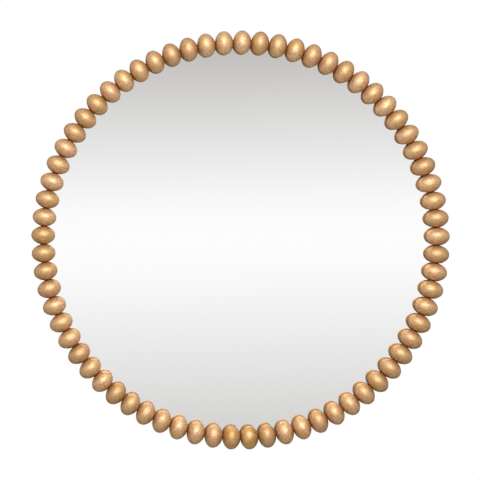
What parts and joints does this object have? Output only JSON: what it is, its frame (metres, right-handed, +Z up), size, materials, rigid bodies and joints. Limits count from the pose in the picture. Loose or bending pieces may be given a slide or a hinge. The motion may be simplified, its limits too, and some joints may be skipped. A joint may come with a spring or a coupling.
{
  "type": "round mirror",
  "caption": "Round wall mirror framed by a ring of egg-shaped antique gold beads, on a backing board with swinging hanger rings and rubber wall bumpers.",
  "frame": {"origin": "on the mirror's axis, in the plane of the wall that the bumpers rest on", "axes": "+Z up, +Y towards the wall, so the glass faces -Y; +X to the right of someone who looks into the mirror"},
  "size_m": [0.7618, 0.0635, 0.7616],
  "materials": {
    "gold_beads": "turned wood in satin antique gold leaf, with brown glaze in the necks",
    "bronzed_rod": "steel rod in matt dark bronze paint",
    "zinc_steel": "bright zinc-plated steel",
    "silvered_glass": "clear float glass, silvered on the back",
    "foam_tape": "white closed-cell foam tape",
    "black_board": "fibreboard in matt black paint",
    "brown_edge": "fibreboard in matt dark brown paint",
    "black_rubber": "matt black rubber",
    "nickel_steel": "nickel-plated steel"
  },
  "bodies": {
    "mirror": {"beads_01": "gold_beads", "beads_02": "gold_beads", "beads_03": "gold_beads", "beads_04": "gold_beads", "beads_05": "gold_beads", "beads_06": "gold_beads", "beads_07": "gold_beads", "beads_08": "gold_beads", "beads_09": "gold_beads", "beads_10": "gold_beads", "beads_11": "gold_beads", "beads_12": "gold_beads", "beads_13": "gold_beads", "beads_14": "gold_beads", "beads_15": "gold_beads", "beads_16": "gold_beads", "beads_17": "gold_beads", "beads_18": "gold_beads", "beads_19": "gold_beads", "beads_20": "gold_beads", "beads_21": "gold_beads", "beads_22": "gold_beads", "beads_23": "gold_beads", "bead_rod": "bronzed_rod", "rod_pin": "zinc_steel", "mirror_glass": "silvered_glass", "mirror_tape": "foam_tape", "back_board": "black_board", "edge_ring": "brown_edge", "bead_screws": "zinc_steel", "hanger_screws": "zinc_steel", "wall_bumpers": "black_rubber", "hanger_strap_left": "nickel_steel", "hanger_strap_right": "nickel_steel"},
    "left_ring": {"hanger_ring_left": "nickel_steel"},
    "right_ring": {"hanger_ring_right": "nickel_steel"}
  },
  "joints": [
    {"name": "left_ring_swing", "type": "hinge", "parent": "mirror", "child": "left_ring", "pos_m": [-0.2, -0.00348, 0.15], "axis": [1, 0, 0], "range_deg": [0, 180]},
    {"name": "right_ring_swing", "type": "hinge", "parent": "mirror", "child": "right_ring", "pos_m": [0.2, -0.00348, 0.15], "axis": [1, 0, 0], "range_deg": [0, 180]}
  ]
}
